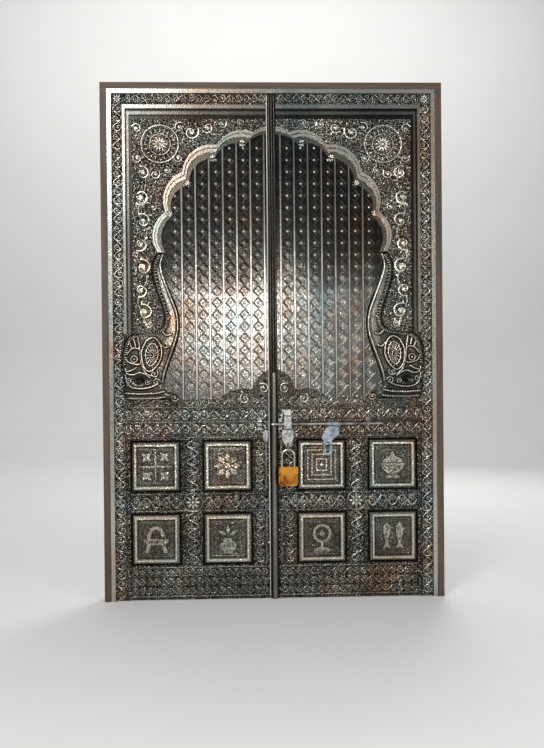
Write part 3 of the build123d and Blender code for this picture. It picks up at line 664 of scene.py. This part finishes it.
# Beads and nails: one small dome at each point, or at even steps along each line
def bead_tree(name, along_lines):
    tree = bpy.data.node_groups.new(name, "GeometryNodeTree")
    tree.interface.new_socket("Lines", in_out="INPUT", socket_type="NodeSocketGeometry")
    for label, value in (("Spacing", 0.008), ("Radius", 0.003), ("Rise", 0.6)):
        tree.interface.new_socket(label, in_out="INPUT", socket_type="NodeSocketFloat").default_value = value
    tree.interface.new_socket("Finish", in_out="INPUT", socket_type="NodeSocketMaterial")
    tree.interface.new_socket("Beads", in_out="OUTPUT", socket_type="NodeSocketGeometry")
    given = tree.nodes.new("NodeGroupInput").outputs
    spots = given["Lines"]
    if along_lines:
        line = add(tree, "GeometryNodeMeshToCurve", {"Mesh": spots}).outputs[0]
        stepped = {"Curve": line, "Length": given["Spacing"]}
        spots = add(tree, "GeometryNodeResampleCurve", stepped, mode="LENGTH").outputs[0]
    ball = {"Segments": 8, "Rings": 5, "Radius": given["Radius"]}
    dome = add(tree, "GeometryNodeMeshUVSphere", ball).outputs["Mesh"]
    squash = add(tree, "ShaderNodeCombineXYZ", {"X": 1.0, "Y": given["Rise"], "Z": 1.0}).outputs[0]
    placed = {"Points": spots, "Instance": dome, "Scale": squash}
    beads = add(tree, "GeometryNodeInstanceOnPoints", placed).outputs[0]
    real = add(tree, "GeometryNodeRealizeInstances", {"Geometry": beads}).outputs[0]
    smooth = add(tree, "GeometryNodeSetShadeSmooth", {"Geometry": real}).outputs[0]
    dressed = {"Geometry": smooth, "Material": given["Finish"]}
    finished = add(tree, "GeometryNodeSetMaterial", dressed).outputs[0]
    output = tree.nodes.new("NodeGroupOutput")
    tree.links.new(finished, output.inputs["Beads"])
    return tree


bead_trees = {False: bead_tree("studs_at_points", False), True: bead_tree("beads_along_lines", True)}


def bead_piece(name, body, points, lines, radius, spacing=0.008, rise=0.6, finish="bead"):
    """Small domes on points in metres, or along lines, which are pairs of point numbers."""
    mesh = bpy.data.meshes.new(name + "_guide")
    mesh.from_pydata(points, lines, [])
    guide = link_piece(name + "_guide", mesh)
    tree = bead_trees[bool(lines)]
    modifier = guide.modifiers.new("beads", "NODES")
    modifier.node_group = tree
    values = {"Spacing": spacing, "Radius": radius, "Rise": rise, "Finish": materials[finish]}
    for item in tree.interface.items_tree:
        if item.in_out == "INPUT" and item.name in values:
            modifier[item.identifier] = values[item.name]
    ready = guide.evaluated_get(bpy.context.evaluated_depsgraph_get())
    beads = bpy.data.meshes.new_from_object(ready)
    bpy.data.objects.remove(guide)
    piece = link_piece(name, beads)
    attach(piece, body)


def bead_lines(*paths):
    """Points and edges of several open lines, for a guide of beads."""
    points, edges = [], []
    for path in paths:
        first = len(points)
        points.extend(path)
        edges.extend((first + i, first + i + 1) for i in range(len(path) - 1))
    return points, edges


# Places of the chased work: the border's middle lines, and the spandrel's medallion, scrolls and stem
BORDER_U, BORDER_Z = 574, 1872
MEDALLION = (417, 1703)
SPANDREL_SCROLLS = (
    (482, 1596, 28, 1.2, 1), (490, 1508, 32, -1.0, -1), (482, 1418, 30, 1.0, 1), (492, 1332, 28, -1.0, -1),
    (484, 1245, 32, 1.3, 1), (493, 1160, 27, -1.2, -1), (480, 1078, 32, 1.2, 1), (436, 1592, 20, 2.4, 1),
    (300, 1748, 30, 2.6, 1), (238, 1765, 22, -0.6, -1), (184, 1778, 16, 2.6, 1), (348, 1652, 18, 0.4, -1),
    (503, 1762, 20, 0.4, 1), (500, 1652, 18, 0.4, -1), (345, 1766, 20, 2.0, -1), (462, 1034, 16, 0.4, -1),
    (392, 1606, 14, 1.4, 1), (120, 1784, 12, 2.6, -1), (444, 1470, 14, 2.0, 1), (512, 1290, 12, 0.5, 1),
)
VINE_STEM = (
    (486, 1640), (470, 1560), (500, 1455), (468, 1372), (505, 1285), (470, 1205), (505, 1120), (470, 1030),
)
ARCH_CUSPS = ((385, 1443), (315, 1557), (222, 1653), (112, 1708))


def chase_border(face):
    canvas = face.canvas
    canvas.vine((BORDER_U, 10), (BORDER_U, 1850), width=42, pitch=34, height=4.0)
    canvas.vine((20, BORDER_Z), (550, BORDER_Z), width=32, pitch=30, height=3.6)
    canvas.rosette(BORDER_U, BORDER_Z, radius=18, count=8, height=4.2)
    scatter_leaves(canvas, (552, 598, 6, 1896), pitch=9.5, height=2.4, seed=11)
    scatter_leaves(canvas, (16, 552, 1852, 1896), pitch=9.5, height=2.4, seed=12)


def chase_spandrel(face):
    canvas = face.canvas
    u0, z0 = MEDALLION
    canvas.rosette(u0, z0, radius=32, count=12, height=4.2)
    canvas.ring(u0, z0, radius=39, half=2.4, height=3.6)
    canvas.ring(u0, z0, radius=69, half=3.2, height=4.6)
    for i in range(20):
        angle = 2 * math.pi * i / 20
        du, dz = math.cos(angle), math.sin(angle)
        canvas.leaf(u0 + 44 * du, z0 + 44 * dz, angle, length=20, half=4.2, height=3.4)
        canvas.boss(u0 + 78 * du, z0 + 78 * dz, radius=4.2, height=3.2)
    canvas.stroke(eased(VINE_STEM), 3.0, height=3.2)
    for u, z, r, start, hand in SPANDREL_SCROLLS:
        canvas.scroll(u, z, r, start, hand, height=4.0)
        canvas.rosette(u, z, r * 0.40, count=6, height=3.8)
        for i in range(9):
            angle = start + 2 * math.pi * i / 9
            rim = u + r * math.cos(angle), z + r * math.sin(angle)
            canvas.leaf(*rim, angle + 0.6 * hand, r * 0.50, r * 0.15, height=3.4)

    def in_spandrel(u, z):
        return face.is_part("spandrel", u, z)

    scatter_leaves(canvas, (10, 524, 1000, 1796), pitch=10, height=2.8, seed=3, keep=in_spandrel)


def chase_arch(face):
    """A small flower on each cusp of the arch."""
    for u, z in ARCH_CUSPS:
        face.canvas.rosette(u, z, radius=15, count=7, height=5.0)


def chase_field(face):
    """Thin ridges along the lattice's bars, which run on to the edge of the field."""
    for strip in range(-1, SLAT_COUNT + 2):
        left = SLAT_FIRST + strip * SLAT_PITCH + SLAT_WIDTH / 2
        right = left + SLAT_PITCH - SLAT_WIDTH
        for row in range(DIAMOND_ROWS):
            low = FIELD_LOW + (row - 0.5) * DIAMOND_RISE
            high = low + DIAMOND_RISE
            face.canvas.stroke([(left, low), (right, high)], 2.3, height=1.7)
            face.canvas.stroke([(left, high), (right, low)], 2.3, height=1.7)


def chase_mid_rail(face):
    canvas, start = face.canvas, JOINT_EDGE[face.side]
    canvas.vine((start + 6, 640), (600, 640), width=42, pitch=36, height=3.4)
    canvas.vine((start + 6, 692), (600, 692), width=42, pitch=36, height=3.4, flip=-1)
    canvas.vine((start + 6, 740), (330, 740), width=34, pitch=30, height=3.0)
    canvas.scroll(40, 790, radius=22, start=1.0, hand=1, height=3.6)
    canvas.scroll(110, 752, radius=20, start=1.0, hand=-1, height=3.6)
    for z in (609, 666, 722):
        canvas.stroke([(start, z), (602, z)], 2.0, height=2.4)
    scatter_leaves(canvas, (start, 604, 600, 870), pitch=9.5, height=2.2, seed=21)


def chase_lower(face):
    canvas, start = face.canvas, JOINT_EDGE[face.side]
    muntin_u, cross_z = 307, 365
    canvas.vine((start + 8, cross_z), (264, cross_z), width=52, pitch=34, height=3.3)
    canvas.vine((350, cross_z), (536, cross_z), width=52, pitch=34, height=3.3, flip=-1)
    canvas.rosette(muntin_u, cross_z, radius=30, count=8, height=3.4)
    canvas.ring(muntin_u, cross_z, radius=35, half=2.4, height=3.0)
    for z in (334, 397):
        canvas.stroke([(start, z), (540, z)], 2.0, height=2.4)
    for z0, z1 in ((134, 324), (407, 597)):
        canvas.vine((muntin_u, z0), (muntin_u, z1), width=54, pitch=34, height=3.4)
        canvas.vine((56, z0), (56, z1), width=34, pitch=30, height=3.4)
        for z in np.arange(z0, z1 - 4, 9.0):
            canvas.stroke([(start + 5, z), (start + 13, z + 4.5), (start + 5, z + 9)], 1.9, height=2.6)
        canvas.vine((549, z0), (549, z1), width=14, pitch=18, height=2.6)
    for row, z in enumerate((34, 68, 102)):
        canvas.vine((start + 6, z), (540, z), width=30, pitch=27, height=3.2, flip=1 if row % 2 else -1)
    for z in (14, 122):
        canvas.stroke([(start, z), (540, z)], 2.2, height=2.6)
    scatter_leaves(canvas, (start, 560, 4, 600), pitch=9.0, height=2.2, seed=31)


PANEL_MIDDLES = [(u, z) for u in (176.25, 444.75) for z in (229, 502)]
PANEL_LINES = ((80, 84, 1.8, 1.8), (60.5, 64.5, 1.8, 1.6), (54.5, 58.5, 1.6, 1.4))
ROUND_A_BOX = ((-1, -1), (1, -1), (1, 1), (-1, 1), (-1, -1))


def chase_panels(face):
    """Three fine lines round each panel's field, and small leaves on the ground round its motif."""
    canvas = face.canvas
    for u, z in PANEL_MIDDLES:
        for half_u, half_z, half, tall in PANEL_LINES:
            canvas.stroke([(u + a * half_u, z + b * half_z) for a, b in ROUND_A_BOX], half, tall)
        ground = (u - 53, u + 53, z - 57, z + 57)
        scatter_leaves(canvas, ground, pitch=10.5, height=1.5, seed=41 + int(u + z), keep=face.is_flat)


# The elephant at the arch's foot, with its trunk raised to the arch
TRUNK_INNER = (
    (409, 1290), (418, 1240), (388, 1150), (361, 1075), (357, 1010), (376, 944), (407, 856), (414, 818),
)
TRUNK_OUTER = (
    (428, 1290), (444, 1240), (430, 1164), (404, 1085), (402, 1036), (424, 1012), (470, 1004), (512, 996),
    (542, 974), (556, 930), (560, 880),
)
TRUNK_PALE = ((424, 1240), (402, 1150), (378, 1075), (376, 1020), (390, 960))
EAR = (
    (474, 972), (448, 984), (426, 966), (417, 925), (430, 886), (460, 858), (484, 878), (491, 930),
    (474, 972),
)
EAR_MIDDLE = (452, 918)
EYE = (519, 904)
MOUTH = (500, 824)
HEAD_LINES = (
    ((492, 930), (506, 944), (528, 942), (546, 922)),
    ((490, 890), (504, 884), (520, 886), (538, 892), (550, 906)),
    ((505, 985), (500, 958), (497, 925), (492, 885), (474, 850), (438, 838)),
    ((520, 976), (516, 962), (514, 952)), ((534, 962), (530, 952), (526, 946)),
    ((553, 870), (545, 850), (522, 846), (500, 854), (480, 848), (462, 836)),
    ((551, 826), (534, 802), (500, 794), (460, 799), (432, 812)),
    ((548, 858), (530, 862), (512, 872)), ((554, 846), (550, 826), (546, 806)),
    ((404, 1060), (396, 1052), (386, 1060)), ((412, 1004), (398, 992), (380, 996)),
    ((420, 960), (406, 946), (392, 950)),
)


def chase_crest(canvas, crest):
    """A ridge along the outer side of the trunk and over the head, with short strokes across it."""
    canvas.stroke(crest, 9.0, 7.0)
    for (u0, z0), (u1, z1) in zip(crest[:-1], crest[1:]):
        steps = max(1, int(math.hypot(u1 - u0, z1 - z0) / 9))
        across = math.atan2(z1 - z0, u1 - u0) + math.pi / 2
        du, dz = 10 * math.cos(across), 10 * math.sin(across)
        for i in range(steps):
            u, z = u0 + (u1 - u0) * i / steps, z0 + (z1 - z0) * i / steps
            canvas.stroke([(u - du, z - dz), (u, z), (u + du, z + dz)], 2.4, 8.6)


def chase_ear(canvas):
    """Two rims, with rays and a small spiral inside them."""
    u0, z0 = EAR_MIDDLE
    canvas.stroke(eased(EAR), 5.0, 9.0)
    canvas.stroke(eased([(u0 + 0.62 * (u - u0), z0 + 0.66 * (z - z0)) for u, z in EAR]), 3.4, 7.0)
    for i in range(16):
        angle = 2 * math.pi * i / 16
        du, dz = math.cos(angle), math.sin(angle)
        canvas.stroke([(u0 + 9 * du, z0 + 14 * dz), (u0 + 30 * du, z0 + 48 * dz)], (2.6, 3.6), 5.5)
    canvas.scroll(u0 + 4, z0 - 2, radius=13, start=1.6, hand=1, height=8.0, turns=1.2)


def swelling(canvas, middle, half_u, half_z, sharpness):
    """A soft swelling round a middle, one at its top."""
    du = (canvas.u[None, :] - middle[0]) / half_u
    dz = (canvas.z[:, None] - middle[1]) / half_z
    return np.exp(-(du ** 2 + dz ** 2) * sharpness)


def shape_elephant(canvas, far):
    """The elephant's height over the cores, and how much paler or darker than its sheet each point is."""
    canvas.clear()
    crest = eased(TRUNK_OUTER)
    canvas.stroke(eased(TRUNK_INNER), 6.5, 7.0)
    chase_crest(canvas, crest)
    chase_ear(canvas)
    canvas.ring(*EYE, radius=12, half=3.4, height=7.5)
    canvas.boss(*EYE, radius=6.5, height=8.5)
    for points in HEAD_LINES:
        canvas.stroke(eased(points), 4.6, 7.5)
    canvas.scroll(446, 848, radius=16, start=2.4, hand=1, height=7.0)
    canvas.scroll(540, 826, radius=14, start=0.6, hand=-1, height=7.5)
    canvas.scroll(438, 818, radius=15, start=3.0, hand=-1, height=7.0)
    canvas.scroll(470, 816, radius=11, start=1.0, hand=-1, height=6.0)
    for z, bend in ((757, 4), (776, 7)):
        canvas.stroke([(408, z + bend), (440, z), (500, z - 2), (552, z + 1)], 5.5, 6.0)
    canvas.scroll(372, 758, radius=16, start=3.4, hand=1, height=7.0, turns=1.2)
    rounded = np.sqrt(1 - (1 - np.clip(far / ROUND_IN, 0, 1)) ** 2)
    head = swelling(canvas, (490, 890), 70, 90, 1.4)
    mouth = swelling(canvas, MOUTH, 22, 17, 1.5)
    height = EDGE + rounded * (ROUND_UP + 6 * head - 10 * mouth + np.maximum(canvas.rise, 0))
    canvas.clear()
    canvas.stroke(eased(TRUNK_PALE), 17.0, 1.0)
    pale = np.maximum(canvas.rise, 0)
    canvas.clear()
    canvas.stroke(crest, 14.0, 1.0)
    dark = np.maximum(canvas.rise, 0)
    return height, 0.30 * pale - 0.24 * dark - 0.35 * mouth


# What is chased on each leaf: the parts that it covers, and the rise from which it is brightest
CHASED = (
    ("border_work", chase_border, 4.4, ("border",)),
    ("spandrel_work", chase_spandrel, 4.0, ("spandrel",)),
    ("arch_bosses", chase_arch, 4.0, ("arch", "field_board", "slats")),
    ("lattice_ridges", chase_field, 2.4, ("field_board",)),
    ("mid_rail_work", chase_mid_rail, 4.0, ("mid_rail",)),
    ("lower_work", chase_lower, 4.2, ("bottom_rail", "cross_rail", "meeting_stiles", "muntins")),
    ("panel_work", chase_panels, 2.2,
     ("lower_inner_panel", "lower_outer_panel", "upper_inner_panel", "upper_outer_panel")),
)

# Lines that beads follow: beside the border, on the elephant's collars, and under the mid rail's wavy edge,
# where they begin at this one of its points
BORDER_BEADS = (((551, 8), (551, 1848)), ((20, 1851), (548, 1851)), ((599, 8), (599, 1892)))
COLLARS = (((410, 761), (440, 757), (500, 755), (550, 758)), ((410, 783), (440, 776), (500, 774), (550, 777)))
WAVE = ((8, 848), (50, 834), (82, 780), (150, 777), (207, 744), (300, 742))
WAVE_FROM = {"left": 2, "right": 1}


def bead_leaf(face):
    """Rows of beads on the border, the collars and the mid rail, and a stud in each diamond of the field."""
    points, edges = bead_lines(*[[face.point(u, z) for u, z in line] for line in BORDER_BEADS])
    bead_piece(f"{face.side}_border_beads", face.body, points, edges, radius=0.0021, spacing=0.006)
    wave = [face.point(u, z - 9, 0.4) for u, z in WAVE[WAVE_FROM[face.side]:]]
    points, edges = bead_lines(*[[face.point(u, z, 0.5) for u, z in collar] for collar in COLLARS], wave)
    bead_piece(f"{face.side}_collar_beads", face.body, points, edges, radius=0.0034, spacing=0.009)
    studs = []
    for strip in range(SLAT_COUNT):
        for row in range(DIAMOND_ROWS + 1):
            u = SLAT_FIRST + (strip + 0.5) * SLAT_PITCH
            z = FIELD_LOW + (row + 0.5) * DIAMOND_RISE
            if face.is_part("field_board", u, z):
                studs.append(face.point(u, z))
    bead_piece(f"{face.side}_diamond_studs", face.body, studs, [], radius=0.0058, rise=0.45, finish="stud")


def dress_leaf(side):
    face = LeafFace(side)
    for name, chase, peak, parts in CHASED:
        face.canvas.clear()
        chase(face)
        floor, finish = (FIELD_FLOOR, "lattice") if name == "lattice_ridges" else (NO_FLOOR, "relief")
        relief_piece(f"{side}_{name}", face, parts, peak, floor, finish)
    mask = face.owners == face.index["elephant"]
    carving, shade = shape_elephant(face.canvas, edge_distance(mask))
    carve_elephant(face, carving, mask, shade)
    on_board = face.owners == face.index["field_board"]
    face.height = np.where(mask, carving, face.height)
    face.height = np.where(on_board, np.maximum(face.height, FIELD_FLOOR), face.height)
    bead_leaf(face)


for side in LEAVES:
    dress_leaf(side)


def round_shackle():
    """The padlock's shackle as one round bar, on the line and between the ends of the solid."""
    low, high = (np.array(corner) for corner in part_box("padlock_shackle"))
    corners = np.array([tuple(v.co) for v in nodes["padlock_shackle"].data.vertices])
    radius = (high[1] - low[1]) / 2
    middle = (low + high) / 2
    bend = (high[0] - low[0]) / 2 - radius
    spring = high[2] - radius - bend
    feet = [corners[corners[:, 0] * way > middle[0] * way, 2].min() for way in (-1, 1)]
    steps = 24
    arc = [math.pi * (1 - i / steps) for i in range(steps + 1)]
    path = [(middle[0] - bend, feet[0])]
    path += [(middle[0] + bend * math.cos(a), spring + bend * math.sin(a)) for a in arc]
    path += [(middle[0] + bend, feet[1])]
    line = bpy.data.curves.new("shackle_line", "CURVE")
    line.dimensions = "3D"
    line.bevel_depth = radius
    line.bevel_resolution = 4
    line.use_fill_caps = True
    spline = line.splines.new("POLY")
    spline.points.add(len(path) - 1)
    for point, (x, z) in zip(spline.points, path):
        point.co = (x, middle[1], z, 1.0)
    guide = link_piece("shackle_guide", line)
    mesh = bpy.data.meshes.new_from_object(guide.evaluated_get(bpy.context.evaluated_depsgraph_get()))
    bpy.data.objects.remove(guide)
    mesh.polygons.foreach_set("use_smooth", [len(p.vertices) == 4 for p in mesh.polygons])
    mesh.materials.clear()
    mesh.materials.append(materials["shackle"])
    piece = link_piece("shackle_bar", mesh)
    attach(piece, nodes["padlock_shackle"]["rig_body"])
    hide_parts("padlock_shackle")


round_shackle()


# Floor, backdrop, lights and camera
def make_stage():
    """One pale sheet, a floor that turns up into a wall so far off that the door's back can be seen."""
    wall, top, bend, reach, steps = 6.0, 9.0, 1.2, 30.0, 12
    profile = [(-reach, 0.0)]
    for i in range(steps + 1):
        angle = math.pi / 2 * i / steps
        profile.append((wall - bend + bend * math.sin(angle), bend - bend * math.cos(angle)))
    profile.append((wall, top))
    points = [(x, y, z) for y, z in profile for x in (-reach, reach)]
    faces = [(2 * i, 2 * i + 1, 2 * i + 3, 2 * i + 2) for i in range(len(profile) - 1)]
    mesh = bpy.data.meshes.new("backdrop")
    mesh.from_pydata(points, [], faces)
    mesh.polygons.foreach_set("use_smooth", [True] * len(faces))
    mesh.materials.append(pale_paint("pale_floor", (0.80, 0.79, 0.77)))
    floor = link_piece("backdrop", mesh)


def lamp(name, place, target, size, power):
    data = bpy.data.lights.new(name, "AREA")
    data.shape = "RECTANGLE"
    data.size, data.size_y = size
    data.energy = power
    item = link_piece(name, data)
    item.location = place
    item.rotation_euler = (Vector(target) - Vector(place)).to_track_quat("-Z", "Y").to_euler()


def make_room():
    world = bpy.data.worlds.new("room")
    bpy.context.scene.world = world
    world.use_nodes = True
    background = world.node_tree.nodes["Background"]
    background.inputs["Color"].default_value = (0.62, 0.63, 0.65, 1.0)
    background.inputs["Strength"].default_value = 0.45


def make_camera(place, lens, yaw, pitch, roll):
    """The photograph's own view. The angles are in degrees, away from a level look along +Y."""
    data = bpy.data.cameras.new("photo_view")
    data.lens = lens
    data.sensor_width = 36.0
    data.clip_start = 0.05
    data.clip_end = 40.0
    camera = link_piece("photo_view", data)
    camera.location = place
    yaw, pitch, roll = math.radians(yaw), math.radians(90 + pitch), math.radians(roll)
    aim = Euler((0, 0, yaw)).to_matrix() @ Euler((pitch, 0, 0)).to_matrix() @ Euler((0, 0, roll)).to_matrix()
    camera.rotation_euler = aim.to_euler()
    bpy.context.scene.camera = camera


make_stage()
lamp("key", (-1.6, -3.4, 3.0), (0, 0, 1.0), (1.4, 1.4), 75)
lamp("fill", (2.6, -3.2, 1.6), (0, 0, 0.9), (1.2, 2.0), 32)
lamp("front", (-0.12, -3.15, 1.30), (-0.05, 0, 1.05), (0.45, 0.45), 30)
lamp("back", (1.2, 3.0, 2.4), (0, 0, 0.9), (1.6, 1.6), 45)
lamp("wall_wash", (0.0, 3.2, 5.4), (0, 6.4, 1.2), (6.0, 1.5), 140)
make_room()
make_camera((-0.101, -3.012, 0.872), lens=38.5, yaw=-1.80, pitch=-0.536, roll=-0.512)
bpy.context.scene.view_settings.view_transform = "Standard"
